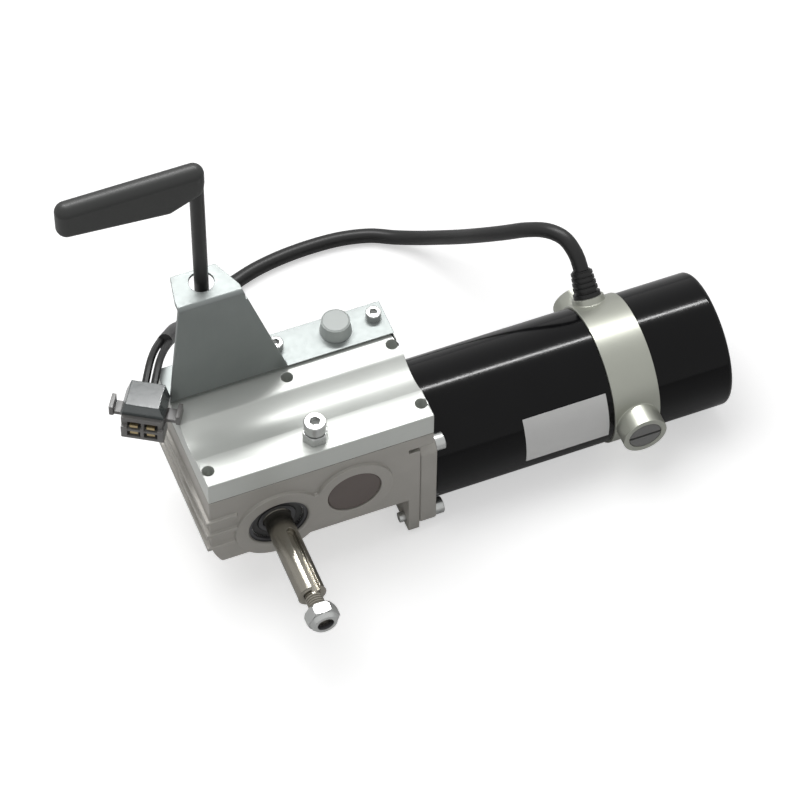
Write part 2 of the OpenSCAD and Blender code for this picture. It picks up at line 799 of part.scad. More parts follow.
module worm_shaft() {
    color([0.55, 0.55, 0.56]) {
        on_motor(tail_bearing_x) cylinder(d = worm_tail, h = 8);
        on_motor(tail_bearing_x + 7.5) cylinder(r = worm_r - 1.2 * worm_m, h = counter_x - worm_l / 2 - tail_bearing_x - 7);
        on_motor(counter_x - worm_l / 2) rotate(worm_phase) worm_thread();
        on_motor(counter_x + worm_l / 2 - fuse)
            cylinder(r = worm_r - 1.2 * worm_m, h = worm_bearing_x - counter_x - worm_l / 2 + 0.1);
        on_motor(worm_bearing_x) cylinder(d = worm_journal, h = motor_x - 5.2 - worm_bearing_x);
    }
}
worm_phase = 0;

module worm_bearing_inners() {
    color([0.7, 0.7, 0.69]) {
        on_motor(worm_bearing_x) inner_race(worm_bearing);
        on_motor(tail_bearing_x) inner_race(tail_bearing);
    }
}

module drive_coupling() {
    color([0.35, 0.35, 0.36])
    sleeve_x(worm_bearing_x + 8.4, motor_x + 1.2, worm_journal / 2 + fit, 9);
}

module armature_shaft() {
    color([0.55, 0.55, 0.56]) {
        on_motor(motor_x - 5) cylinder(d = worm_journal, h = 7.2);
        on_motor(front_bearing_x) cylinder(d = armature_journal, h = 11.4);
        on_motor(front_bearing_x + 11.3) cylinder(r = 8.4, h = rear_bearing_x - front_bearing_x - 11.4);
        on_motor(rear_bearing_x - 0.2) cylinder(d = counter_journal, h = tail_end - 9 - rear_bearing_x);
    }
}

module armature_bearing_inners() {
    color([0.7, 0.7, 0.69]) {
        on_motor(front_bearing_x) inner_race(armature_bearing);
        on_motor(rear_bearing_x) inner_race(counter_bearing);
    }
}

rotor_slots = 12;

module rotor_core() {
    color([0.4, 0.4, 0.42])
    on_motor(rotor_x0) linear_extrude(rotor_x1 - rotor_x0)
    difference() {
        circle(r = rotor_r);
        circle(r = 8.4 + fit);
        for (i = [0 : rotor_slots - 1]) {
            rotate(i * 360 / rotor_slots) translate([rotor_r - 11, -2.6]) square([9.5, 5.2]);
            rotate(i * 360 / rotor_slots) translate([rotor_r - 3, -1]) square([5, 2]);
        }
    }
}

module windings() {
    color([0.66, 0.36, 0.18]) {
        for (i = [0 : rotor_slots - 1]) {
            on_motor(rotor_x0 - 1) rotate(i * 360 / rotor_slots)
                translate([rotor_r - 10.9, -2.5, 0]) cube([9.2, 5, rotor_x1 - rotor_x0 + 2]);
        }
        for (end = [[rotor_x0 - 11.5, rotor_x0 - 0.1], [rotor_x1 + 0.1, rotor_x1 + 5.5]]) {
            sleeve_x(end[0], end[1], 8.4 + fit, rotor_r - 1.6);
        }
    }
}

module commutator() {
    x0 = rotor_x1 + 5.7;
    color([0.74, 0.45, 0.26])
    on_motor(x0) linear_extrude(rear_bearing_x - 1.2 - x0)
    difference() {
        circle(r = commutator_r);
        circle(r = 8.4 + fit);
        for (i = [0 : 23]) {
            rotate(i * 15) translate([commutator_r - 2, -0.3]) square([3, 0.6]);
        }
    }
}

// ---- Motor shell ----

module motor_flange() {
    color([0.76, 0.75, 0.72])
    difference() {
        union() {
            intersection() {
                block([motor_x, motor_y - flange_w / 2, axis_z - flange_h / 2],
                      [tube_x, motor_y + flange_w / 2, axis_z + flange_h / 2]);
                round_x(motor_x, tube_x, flange_w * 0.64);
            }
            round_x(motor_x - box_flange_t + 0.6, motor_x + 1, tube_d / 2 - 13 - fit);
            round_x(tube_x - 1, tube_x + 8.4, tube_d / 2 - tube_wall - fit);
        }
        round_x(motor_x - box_flange_t, tube_x, 10.5);
        round_x(front_bearing_x, tube_x + 9, armature_bearing[1] / 2);
        round_x(front_bearing_x + 12, tube_x + 9, tube_d / 2 - tube_wall - 4);
        for (sy = [-1, 1], sz = [-1, 1]) {
            translate([motor_x - 1, motor_y + sy * screw_y, axis_z + sz * screw_z])
                rotate([0, 90, 0]) cylinder(d = 6.6, h = flange_t + 2);
        }
    }
}

module flange_screws() {
    color([0.7, 0.71, 0.7])
    for (sy = [-1, 1], sz = [-1, 1]) {
        translate([tube_x, motor_y + sy * screw_y, axis_z + sz * screw_z])
            rotate([0, 90, 0]) cap_screw(6, flange_t + 10.4, 9.8, 6);
    }
}

module motor_tube() {
    color([0.05, 0.05, 0.05])
    sleeve_x(tube_x, ring_x, tube_d / 2 - tube_wall, tube_d / 2);
}

module magnets() {
    color([0.28, 0.27, 0.27])
    for (i = [0 : 3]) {
        on_motor(rotor_x0 - 6) rotate(i * 90 + 9)
            rotate_extrude(angle = 72) translate([magnet_in, 0])
            square([magnet_out - magnet_in, rotor_x1 - rotor_x0 + 10]);
    }
}

module radial(turn, x) {
    translate([x, motor_y, axis_z]) rotate([-turn, 0, 0]) children();
}

module brush_ring() {
    r = tube_d / 2 + ring_proud;
    color([0.72, 0.72, 0.66])
    difference() {
        union() {
            sleeve_x(ring_x, tail_x, tube_d / 2 - tube_wall, r);
            sleeve_x(tail_x - 6, tail_x, 6, tube_d / 2 - tube_wall + 1);
            sleeve_x(rear_bearing_x, tail_x, 6, counter_bore_r + 3);
            for (turn = [90, -90]) {
                radial(turn, brush_x) translate([0, 0, r - 8]) cylinder(d = brush_boss_d, h = brush_reach - r + 8);
            }
            radial(gland_turn, gland_x) translate([0, 0, r - 5]) cylinder(d = 19, h = 8);
        }
        round_x(ring_x - 1, tail_x - 6, tube_d / 2 - tube_wall - 0.2);
        round_x(rear_bearing_x - 0.1, rear_bearing_x + 10, counter_bore_r);
        round_x(ring_x, tail_x + 1, 8);
        for (turn = [90, -90]) {
            radial(turn, brush_x) translate([0, 0, 20]) cylinder(r = 8.2, h = brush_reach);
            radial(turn, brush_x) translate([0, 0, brush_reach - 3.6]) cylinder(d = brush_cap_d + 0.4, h = 8);
        }
        radial(gland_turn, gland_x) cylinder(d = 12.2, h = tube_d);
    }
}

module brush_holders() {
    color([0.3, 0.22, 0.14])
    for (turn = [90, -90]) {
        radial(turn, brush_x) difference() {
            translate([0, 0, commutator_r + 2]) cylinder(r = 8.2 - fit, h = brush_reach - commutator_r - 8);
            translate([-2.9, -4.6, 0]) cube([5.8, 9.2, brush_reach]);
            translate([3.6, -20, 0]) cube([20, 40, counter_bore_r + 12]);
        }
    }
}

module brushes() {
    color([0.15, 0.15, 0.15])
    for (turn = [90, -90]) {
        radial(turn, brush_x) translate([-2.75, -4.4, commutator_r + 0.35]) cube([5.5, 8.8, 14]);
    }
}

module brush_springs() {
    z0 = commutator_r + 14.5;
    color([0.6, 0.6, 0.6])
    for (turn = [90, -90]) {
        radial(turn, brush_x) translate([0, 0, z0]) coil_spring(1.8, 0.4, brush_reach - 6.4 - z0, 6);
    }
}

module brush_caps() {
    color([0.4, 0.4, 0.38])
    for (turn = [90, -90]) {
        radial(turn, brush_x) difference() {
            union() {
                translate([0, 0, brush_reach - 3.5]) cylinder(d = brush_cap_d, h = 2.9);
                translate([0, 0, brush_reach - 0.6 - fuse])
                    cylinder(d1 = brush_cap_d, d2 = brush_cap_d - 1, h = 0.4);
                translate([0, 0, brush_reach - 5.9]) cylinder(r = 8.1, h = 3);
            }
            translate([-brush_cap_d, -0.9, brush_reach - 1.8]) cube([2 * brush_cap_d, 1.8, 4]);
        }
    }
}

// ---- Holding brake inside the tail ----

brake_x = tail_x;
brake_r = 29;
body_l = 17;
plate_gap = 0.3;
plate_x = brake_x + body_l + plate_gap + 0.3;
disc_x = plate_x + 3.4;
end_x = disc_x + 6.4;

module brake_body() {
    color([0.5, 0.5, 0.5])
    difference() {
        round_x(brake_x, brake_x + body_l, brake_r);
        round_x(brake_x - 1, brake_x + body_l + 1, 8.5);
        sleeve_x(brake_x + 4, brake_x + body_l + 1, 15, 22.5);
        for (i = [0 : 2]) {
            on_motor(brake_x + body_l - 7) rotate(i * 120) translate([11.8, 0, 0]) cylinder(r = 2.2, h = 8);
            on_motor(brake_x - 1) rotate(60 + i * 120) translate([26, 0, 0]) cylinder(d = 3.3, h = 30);
        }
    }
}

module brake_coil() {
    color([0.62, 0.3, 0.15])
    sleeve_x(brake_x + 4 + fit, brake_x + body_l - 0.5, 15.1, 22.4);
}

module brake_springs() {
    color([0.62, 0.62, 0.62])
    for (i = [0 : 2]) {
        on_motor(brake_x + body_l - 7 + fit) rotate(i * 120) translate([11.8, 0, 0])
            coil_spring(1.5, 0.4, 7 + plate_gap - 2 * fit, 4);
    }
}

module brake_bolts() {
    color([0.6, 0.6, 0.6])
    for (i = [0 : 2]) {
        on_motor(brake_x + 1) rotate(60 + i * 120) translate([26, 0, 0]) {
            cylinder(d = 3.2, h = end_x + 5 - brake_x);
            translate([0, 0, end_x + 4.05 - brake_x]) cylinder(d = 5.5, h = 2.4, $fn = 6);
        }
    }
}

module brake_armature_plate() {
    color([0.45, 0.45, 0.46])
    difference() {
        round_x(plate_x, plate_x + 3, brake_r);
        round_x(plate_x - 1, plate_x + 4, 8.5);
        for (i = [0 : 2]) {
            on_motor(plate_x - 1) rotate(60 + i * 120) translate([26, 0, 0]) cylinder(d = 4.2, h = 6);
        }
    }
}

module brake_hub() {
    color([0.5, 0.5, 0.52])
    on_motor(disc_x - 0.1) difference() {
        cylinder(r = 9.2, h = 6.2, $fn = 6);
        translate([0, 0, -1]) cylinder(d = counter_journal + 2 * fit, h = 9);
    }
}

module brake_disc() {
    color([0.3, 0.26, 0.2])
    on_motor(disc_x) difference() {
        cylinder(r = 22, h = 6);
        translate([0, 0, -1]) cylinder(r = 9.3, h = 9, $fn = 6);
    }
}

module brake_end_plate() {
    color([0.5, 0.5, 0.5])
    difference() {
        round_x(end_x, end_x + 4, brake_r);
        round_x(end_x - 1, end_x + 5, 8);
        for (i = [0 : 2]) {
            on_motor(end_x - 1) rotate(60 + i * 120) translate([26, 0, 0]) cylinder(d = 3.3, h = 6);
        }
    }
}

module tail_cover() {
    corner = 3;
    r = tube_d / 2;
    color([0.05, 0.05, 0.05])
    on_motor(tail_x)
    rotate_extrude()
    difference() {
        union() {
            square([r, tail_l - corner]);
            square([r - corner, tail_l]);
            translate([r - corner, tail_l - corner]) circle(r = corner);
        }
        translate([-1, -1]) square([r - tube_wall + 1, tail_l - 2]);
    }
}

module rating_label() {
    color([0.86, 0.86, 0.84])
    on_motor(tube_x + 54.5)
        rotate(-127) rotate_extrude(angle = 45) translate([tube_d / 2 + 0.1, 0]) square([0.25, 51]);
}

// ---- Cable, gland and connector ----

module cable_gland() {
    color([0.07, 0.07, 0.07])
    radial(gland_turn, gland_x) {
        translate([0, 0, tube_d / 2 - tube_wall + 0.3]) cylinder(d = 12, h = 8);
        translate([0, 0, tube_d / 2 + ring_proud + 3]) cylinder(d = 16, h = 2.5);
        translate([0, 0, tube_d / 2 + ring_proud + 5]) cylinder(d1 = 12.4, d2 = 10.6, h = gland_end - tube_d / 2 - ring_proud - 5);
        for (i = [0 : 3]) {
            translate([0, 0, tube_d / 2 + ring_proud + 7.2 + i * 3]) cylinder(d = 14.6 - i * 0.6, h = 1.7);
        }
    }
}

function unit(v) = v / norm(v);
function spline(a, b, c, d, t) =
    0.5 * (2 * b + (c - a) * t + (2 * a - 5 * b + 4 * c - d) * t * t + (3 * b - a - 3 * c + d) * t * t * t);
function route_line(p, n) = concat(
    [for (i = [0 : len(p) - 2], k = [0 : n - 1])
        spline(p[max(i - 1, 0)], p[i], p[i + 1], p[min(i + 2, len(p) - 1)], k / n)],
    [p[len(p) - 1]]);
function heading(p, i) = unit(p[min(i + 1, len(p) - 1)] - p[max(i - 1, 0)]);
function carried(p, i, u) = unit(u - (u * heading(p, i)) * heading(p, i));
function side_vectors(p, i, u) =
    i >= len(p) ? [] : let (v = carried(p, i, u)) concat([v], side_vectors(p, i + 1, v));

module swept_tube(route, r, sides, n) {
    line = route_line(route, n);
    across = side_vectors(line, 0, [0, 0.3, 1]);
    rings = len(line);
    points = [for (i = [0 : rings - 1], k = [0 : sides - 1])
        let (a = k * 360 / sides, u = across[i], v = cross(heading(line, i), u))
        line[i] + r * (cos(a) * u + sin(a) * v)];
    skin = [for (i = [0 : rings - 2], k = [0 : sides - 1])
        let (a = i * sides + k, b = i * sides + (k + 1) % sides)
        each [[a, a + sides, b], [b, a + sides, b + sides]]];
    polyhedron(points, concat(skin,
        [[for (k = [0 : sides - 1]) k]],
        [[for (k = [sides - 1 : -1 : 0]) (rings - 1) * sides + k]]));
}

// A coil spring standing on z = 0, with its wire's ends inside its height.
module coil_spring(mean_r, wire_r, h, turns) {
    per_turn = 12;
    count = turns * per_turn;
    helix = [for (i = [0 : count])
        [mean_r * cos(i * 360 / per_turn), mean_r * sin(i * 360 / per_turn),
         wire_r * 1.3 + (h - 2.6 * wire_r) * i / count]];
    swept_tube(helix, wire_r, 6, 1);
}

module motor_cable() {
    color([0.06, 0.06, 0.06]) swept_tube(cable_route, cable_d / 2, 10, 3);
}

module connector_leads() {
    color([0.05, 0.05, 0.05])
    for (s = [-1, 1]) {
        swept_tube([for (p = lead_route) p + s * [0.44, -0.28, 0] * (lead_d + 0.4)], lead_d / 2, 8, 3);
    }
}

module on_connector() {
    translate(connector_at) rotate(connector_turn) children();
}

module connector_housing() {
    color([0.12, 0.12, 0.12])
    on_connector()
    difference() {
        union() {
            block([-12, -12, -9], [12, -1, 0.1]);
            block([-12, -10, 0], [11, 8, 6.5]);
            block([-20, -4, 0], [20, 4, 2.6]);
            for (x = [-20, 17.6]) {
                block([x, -5, -0.001], [x + 2.4, 5, 7]);
            }
        }
        for (x = [-8.5, 1], z = [-7, -1.4]) {
            block([x, -13, z], [x + 7.5, -3, z + 4.4]);
        }
    }
}

module connector_latch() {
    color([0.4, 0.42, 0.42])
    on_connector()
    xz_prism(-8, 9) polygon([[-13, 6.5], [12, 6.5], [9.5, 16.5], [-9.5, 16.5]]);
}

module connector_terminals() {
    color([0.7, 0.6, 0.4])
    on_connector()
    for (x = [-8.5, 1], z = [-7, -1.4]) {
        block([x + 1.5, -11, z + 1.2], [x + 6, -3, z + 3.2]);
    }
}

// ---- Release lever ----

module lever_rod() {
    color([0.2, 0.2, 0.21])
    translate([lever_x, lever_y, 0]) {
        translate([0, 0, 26]) cylinder(d = rod_d, h = grip_top - 18 - 26);
        translate([0, 0, 22]) cylinder(r = release_throw + release_pin_d / 2 + 0.15, h = 5);
        translate([0, -release_throw, 5]) cylinder(d = release_pin_d, h = 18);
    }
}

module lever_clip() {
    color([0.3, 0.3, 0.3])
    translate([lever_x, lever_y, cover_top + sheet_t + free]) difference() {
        cylinder(r = rod_d / 2 + 3, h = 1.2);
        translate([0, 0, -1]) cylinder(d = rod_d + 2 * fit, h = 4);
    }
}

module lever_grip() {
    r = grip_t / 2;
    right = rod_d / 2 + 0.5;
    left = right - grip_l;
    corners = [
        [left + r, -r], [right - r, -r], [right - r, -grip_h * 0.4], [-2, -grip_h * 0.55],
        [-17, -grip_h + r], [left + r, -grip_h * 0.8 + r]
    ];
    color([0.12, 0.12, 0.12])
    translate([lever_x, lever_y, grip_top])
    difference() {
        hull() {
            for (c = corners) {
                translate([c[0], 0, c[1]]) sphere(r = r, $fn = 32);
            }
        }
        translate([0, 0, -grip_h - 5]) cylinder(d = rod_d + 2 * fit, h = grip_h + 5 - 17.9);
    }
}

gearbox_housing();
gearbox_cover();
cover_gasket();
release_bracket();
bracket_screws();
stop_buffer();
adjusting_screw();
adjusting_locknut();
bearing_cap();
output_bearing_ring();
output_circlip();
inner_bearing_rings();
bearing_balls();
output_shaft();
output_bearing_inners();
output_gear();
clutch_keys();
output_nut();
clutch_collar();
intermediate_shaft();
counter_bearing_inners();
pinion();
worm_wheel();
worm_shaft();
worm_bearing_inners();
drive_coupling();
armature_shaft();
armature_bearing_inners();
rotor_core();
windings();
commutator();
motor_flange();
flange_screws();
motor_tube();
magnets();
brush_ring();
brush_holders();
brushes();
brush_springs();
brush_caps();
brake_body();
brake_coil();
brake_springs();
brake_bolts();
brake_armature_plate();
brake_hub();
brake_disc();
brake_end_plate();
tail_cover();
rating_label();
cable_gland();
motor_cable();
connector_leads();
connector_housing();
connector_latch();
connector_terminals();
lever_rod();
lever_clip();
lever_grip();
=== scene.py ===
import bmesh
import bpy
from math import cos, pi, radians, sin
from mathutils import Matrix, Vector


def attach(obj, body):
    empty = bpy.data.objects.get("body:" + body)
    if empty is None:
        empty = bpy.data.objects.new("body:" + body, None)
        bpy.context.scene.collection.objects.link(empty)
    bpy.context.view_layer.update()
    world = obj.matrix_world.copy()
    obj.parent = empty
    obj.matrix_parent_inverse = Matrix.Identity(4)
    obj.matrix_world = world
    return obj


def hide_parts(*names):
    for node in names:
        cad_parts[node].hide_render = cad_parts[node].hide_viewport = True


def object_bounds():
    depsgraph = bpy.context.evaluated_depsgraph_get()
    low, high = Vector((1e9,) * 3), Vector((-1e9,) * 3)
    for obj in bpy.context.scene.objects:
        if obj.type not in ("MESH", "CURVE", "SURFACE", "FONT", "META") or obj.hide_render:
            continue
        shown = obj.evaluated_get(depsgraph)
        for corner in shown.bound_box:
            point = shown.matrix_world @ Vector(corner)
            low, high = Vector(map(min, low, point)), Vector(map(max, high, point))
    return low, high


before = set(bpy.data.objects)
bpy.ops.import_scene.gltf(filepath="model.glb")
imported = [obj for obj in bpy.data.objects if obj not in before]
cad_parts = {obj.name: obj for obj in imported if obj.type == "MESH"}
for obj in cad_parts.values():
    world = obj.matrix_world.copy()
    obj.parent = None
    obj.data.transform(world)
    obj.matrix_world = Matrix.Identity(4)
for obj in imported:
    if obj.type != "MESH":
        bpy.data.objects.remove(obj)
cad_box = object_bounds()
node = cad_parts
scene = bpy.context.scene
scene.view_settings.view_transform = "Standard"

# ---- Camera, floor and lights ----
# A long lens looks down on the gearbox's front corner, over a matt pale floor that runs on past the
# view. One broad softbox hangs over the part, and a strip behind it draws the line of light along
# the black tube.
view_az, view_el, view_roll = 0.385770, 0.937206, 0.009848
view_place = Vector((-0.42225, -1.21589, 1.86720))
look = Vector((sin(view_az) * cos(view_el), cos(view_az) * cos(view_el), -sin(view_el)))
level = Vector((cos(view_az), -sin(view_az), 0))
rise = level.cross(look)
right = cos(view_roll) * level + sin(view_roll) * rise
up = cos(view_roll) * rise - sin(view_roll) * level
camera = bpy.data.objects.new("camera", bpy.data.cameras.new("camera"))
camera.data.lens = 183.33
camera.data.sensor_width = 36
camera.data.clip_end = 30
camera.matrix_world = Matrix.Translation(view_place) @ Matrix((right, up, -look)).transposed().to_4x4()
scene.collection.objects.link(camera)
scene.camera = camera

floor_half, floor_drop = 6, 0.0002
floor_centre = (0.1, 0.1, cad_box[0][2] - floor_drop)
floor_mesh = bpy.data.meshes.new("floor")
bm = bmesh.new()
bmesh.ops.create_grid(bm, x_segments=1, y_segments=1, size=floor_half)
bmesh.ops.translate(bm, verts=bm.verts, vec=floor_centre)
bm.to_mesh(floor_mesh)
bm.free()
floor = bpy.data.objects.new("floor", floor_mesh)
scene.collection.objects.link(floor)
paper_glow = 0.50
paper = bpy.data.materials.new("paper_floor")
paper.use_nodes = True
shader = paper.node_tree.nodes["Principled BSDF"]
shader.inputs["Base Color"].default_value = (0.86, 0.86, 0.86, 1)
shader.inputs["Roughness"].default_value = 0.9
shader.inputs["Specular IOR Level"].default_value = 0.1
shader.inputs["Emission Color"].default_value = (1, 1, 1, 1)
rays = paper.node_tree.nodes.new("ShaderNodeLightPath")
seen = paper.node_tree.nodes.new("ShaderNodeMath")
seen.operation = "MULTIPLY"
seen.inputs[1].default_value = paper_glow
paper.node_tree.links.new(rays.outputs["Is Camera Ray"], seen.inputs[0])
paper.node_tree.links.new(seen.outputs[0], shader.inputs["Emission Strength"])
floor_mesh.materials.append(paper)

sky_on_part, sky_behind = 0.34, 0.95
world = bpy.data.worlds.new("studio")
scene.world = world
world.use_nodes = True
sky = world.node_tree.nodes["Background"]
sky.inputs["Color"].default_value = (1, 1, 1, 1)
rays = world.node_tree.nodes.new("ShaderNodeLightPath")
direct = world.node_tree.nodes.new("ShaderNodeMath")
direct.operation = "ADD"
through = world.node_tree.nodes.new("ShaderNodeMath")
through.operation = "ADD"
through.use_clamp = True
sky_strength = world.node_tree.nodes.new("ShaderNodeMapRange")
sky_strength.inputs["To Min"].default_value = sky_on_part
sky_strength.inputs["To Max"].default_value = sky_behind
links = world.node_tree.links
links.new(rays.outputs["Is Camera Ray"], direct.inputs[0])
links.new(rays.outputs["Is Glossy Ray"], direct.inputs[1])
links.new(direct.outputs[0], through.inputs[0])
links.new(rays.outputs["Is Transmission Ray"], through.inputs[1])
links.new(through.outputs[0], sky_strength.inputs["Value"])
links.new(sky_strength.outputs["Result"], sky.inputs["Strength"])


def softbox(name, place, aim, width, depth, watts):
    lamp = bpy.data.objects.new(name, bpy.data.lights.new(name, "AREA"))
    lamp.data.shape = "RECTANGLE"
    lamp.data.size = width
    lamp.data.size_y = depth
    lamp.data.energy = watts
    lamp.location = place
    lamp.rotation_euler = (Vector(aim) - Vector(place)).to_track_quat("-Z", "Y").to_euler()
    scene.collection.objects.link(lamp)
    return lamp


overhead = softbox("overhead", (-0.3, 0.5, 1.8), (0.1, 0.05, 0), 1.4, 1.4, 19)
overhead.visible_glossy = False
strip = softbox("strip", (0.30, 0.80, 1.40), (0.15, 0.04, 0), 1.5, 0.06, 26)
strip.visible_diffuse = False

# ---- Motor cable ----
# A round black rubber-sheathed cable, 9 mm thick. It leaves the gland on the brush ring, arches
# over the back of the motor, lies along the floor behind it and comes up to the connector.
cable_route = [
    (0.216, 0.082, 0.031), (0.2152, 0.089, 0.038), (0.212, 0.0985, 0.0426), (0.2055, 0.1085, 0.041),
    (0.1975, 0.1195, 0.0325), (0.189, 0.1325, 0.0185), (0.181, 0.147, 0.003), (0.174, 0.163, -0.014),
    (0.167, 0.178, -0.029), (0.1595, 0.1905, -0.0405), (0.149, 0.2015, -0.048), (0.136, 0.21, -0.0503),
    (0.119, 0.214, -0.0503), (0.101, 0.215, -0.0503), (0.082, 0.214, -0.0503), (0.064, 0.211, -0.0503),
    (0.048, 0.206, -0.0503), (0.032, 0.199, -0.0485), (0.018, 0.189, -0.043), (0.008, 0.177, -0.033),
    (0, 0.164, -0.02), (-0.006, 0.15, -0.002), (-0.012, 0.136, 0.017), (-0.019, 0.121, 0.035),
    (-0.028, 0.105, 0.052),
]
cable_r = 0.0045
steps_between_points, round_steps = 6, 5


def smooth_route(points, steps):
    """The points of a smooth curve that passes through each point of a route."""
    line = []
    for i in range(len(points) - 1):
        a, b, c, d = (Vector(points[min(max(i + k, 0), len(points) - 1)]) for k in (-1, 0, 1, 2))
        for k in range(steps):
            t = k / steps
            line.append(0.5 * (2 * b + (c - a) * t + (2 * a - 5 * b + 4 * c - d) * t ** 2
                               + (3 * b - a - 3 * c + d) * t ** 3))
    return line + [Vector(points[-1])]


def cord_curve(name, points, radius):
    """A round cord along a route, and its length."""
    line = smooth_route(points, steps_between_points)
    curve = bpy.data.curves.new(name, "CURVE")
    curve.dimensions = "3D"
    curve.bevel_depth = radius
    curve.bevel_resolution = round_steps
    curve.use_fill_caps = True
    spline = curve.splines.new("POLY")
    spline.points.add(len(line) - 1)
    for point, at in zip(spline.points, line):
        point.co = (*at, 1)
    spline.use_smooth = True
    piece = bpy.data.objects.new(name, curve)
    scene.collection.objects.link(piece)
    return piece, sum((b - a).length for a, b in zip(line, line[1:]))


grain_detail, relief_strength = 5, 0.6
patch_scale, patch_detail = 42, 4
coat_rough = 0.12


def grained(name, colour, metallic, rough, grain, depth, tint=0.12, spread=0.08, stretch=(1, 1, 1),
            coat=0.0, spec=0.5):
    """A finish with a fine grain in its relief and its gloss, and slow patches in its colour."""
    made = bpy.data.materials.new(name)
    made.use_nodes = True
    parts, join = made.node_tree.nodes, made.node_tree.links
    surface = parts["Principled BSDF"]
    surface.inputs["Metallic"].default_value = metallic
    surface.inputs["Coat Weight"].default_value = coat
    surface.inputs["Coat Roughness"].default_value = coat_rough
    surface.inputs["Specular IOR Level"].default_value = spec
    place = parts.new("ShaderNodeTexCoord")
    turned = parts.new("ShaderNodeMapping")
    turned.inputs["Scale"].default_value = stretch
    fine = parts.new("ShaderNodeTexNoise")
    fine.inputs["Scale"].default_value = grain
    fine.inputs["Detail"].default_value = grain_detail
    patches = parts.new("ShaderNodeTexNoise")
    patches.inputs["Scale"].default_value = patch_scale
    patches.inputs["Detail"].default_value = patch_detail
    shade = parts.new("ShaderNodeMix")
    shade.data_type = "RGBA"
    shade.inputs["A"].default_value = (*[c * (1 - tint) for c in colour], 1)
    shade.inputs["B"].default_value = (*[min(1, c * (1 + tint)) for c in colour], 1)
    gloss = parts.new("ShaderNodeMapRange")
    gloss.inputs["To Min"].default_value = rough - spread
    gloss.inputs["To Max"].default_value = rough + spread
    relief = parts.new("ShaderNodeBump")
    relief.inputs["Strength"].default_value = relief_strength
    relief.inputs["Distance"].default_value = depth
    join.new(place.outputs["Object"], turned.inputs["Vector"])
    join.new(turned.outputs["Vector"], fine.inputs["Vector"])
    join.new(place.outputs["Object"], patches.inputs["Vector"])
    join.new(patches.outputs["Fac"], shade.inputs["Factor"])
    join.new(shade.outputs["Result"], surface.inputs["Base Color"])
    join.new(fine.outputs["Fac"], gloss.inputs["Value"])
    join.new(gloss.outputs["Result"], surface.inputs["Roughness"])
    join.new(fine.outputs["Fac"], relief.inputs["Height"])
    join.new(relief.outputs["Normal"], surface.inputs["Normal"])
    return made


def dress(names, finish):
    """Gives CAD pieces whose shape is right their finish."""
    for name in names:
        node[name].data.materials.clear()
        node[name].data.materials.append(finish)


sheath = grained("cable_sheath", (0.012, 0.012, 0.012), 0, 0.42, 900, 0.00006, tint=0.3, spec=0.35)
cable, cable_length = cord_curve("cable_sheath", cable_route, cable_r)
cable.data.materials.append(sheath)
dress(["connector_leads", "cable_gland"], sheath)
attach(cable, "gearmotor")
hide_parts("motor_cable")

# ---- Gearbox castings and cover ----
# Pressure-cast aluminium, trimmed at the die and blasted, so every edge is a little round. The
# cover's top is milled flat after casting and keeps the cutter's fine lines.
weld_gap, flat_angle, bevel_steps = 2e-6, radians(0.6), 2
shade_angle, big_face_weight = radians(32), 60


def softened(name, body, width, finish, sharp=34):
    """A merged copy of a CAD piece with its sharp edges rounded, which stands for that piece."""
    mesh = bpy.data.meshes.new(name + "_finished")
    bm = bmesh.new()
    bm.from_mesh(node[name].data)
    bmesh.ops.remove_doubles(bm, verts=bm.verts, dist=weld_gap)
    bmesh.ops.dissolve_limit(bm, angle_limit=flat_angle, verts=bm.verts, edges=bm.edges)
    corners = [e for e in bm.edges if len(e.link_faces) == 2 and e.calc_face_angle(0) > radians(sharp)]
    bmesh.ops.bevel(bm, geom=corners, offset=width, offset_type="OFFSET", affect="EDGES",
                    segments=bevel_steps, profile=0.5, material=-1, clamp_overlap=False)
    bmesh.ops.triangulate(bm, faces=[f for f in bm.faces if len(f.verts) > 4])
    for face in bm.faces:
        face.smooth = True
    bm.to_mesh(mesh)
    bm.free()
    mesh.materials.clear()
    mesh.materials.append(finish)
    mesh.set_sharp_from_angle(angle=shade_angle)
    piece = bpy.data.objects.new(name + "_finished", mesh)
    scene.collection.objects.link(piece)
    flat_first = piece.modifiers.new("flat_first", "WEIGHTED_NORMAL")
    flat_first.keep_sharp = True
    flat_first.weight = big_face_weight
    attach(piece, body)
    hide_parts(name)
    return piece


cast = grained("cast_aluminium", (0.42, 0.405, 0.375), 0.35, 0.50, 1500, 0.00012, tint=0.10)
milled = grained("milled_cover", (0.62, 0.64, 0.61), 0.25, 0.40, 700, 0.00003, tint=0.06,
                 stretch=(0.06, 1, 1))
softened("gearbox_housing", "gearmotor", 0.0007, cast)
softened("gearbox_cover", "gearmotor", 0.0006, milled)
dress(["cover_gasket"], grained("gasket_paper", (0.12, 0.12, 0.11), 0, 0.7, 1200, 0.00005))

# ---- Release bracket ----
# Folded from 2.2 mm zinc-plated sheet: the flat foot is screwed down on the cover and the panel
# stands up to the small top plate that the lever passes through. The motor's other screws and
# nuts are plated too.
zinc = grained("zinc_sheet", (0.24, 0.26, 0.255), 0.55, 0.40, 420, 0.00002, tint=0.10, stretch=(1, 1, 0.15))
softened("release_bracket", "gearmotor", 0.0003, zinc)
plated = grained("plated_steel", (0.50, 0.51, 0.50), 0.8, 0.30, 900, 0.00002, tint=0.14)
softened("bracket_screws", "gearmotor", 0.0002, plated)
softened("adjusting_screw", "gearmotor", 0.00025, plated)
softened("adjusting_locknut", "gearmotor", 0.00025, plated)
softened("flange_screws", "gearmotor", 0.0002, plated)
dress(["brake_bolts"], plated)
softened("stop_buffer", "gearmotor", 0.0003,
         grained("nylon_buffer", (0.50, 0.54, 0.52), 0, 0.40, 600, 0.00003, tint=0.05))

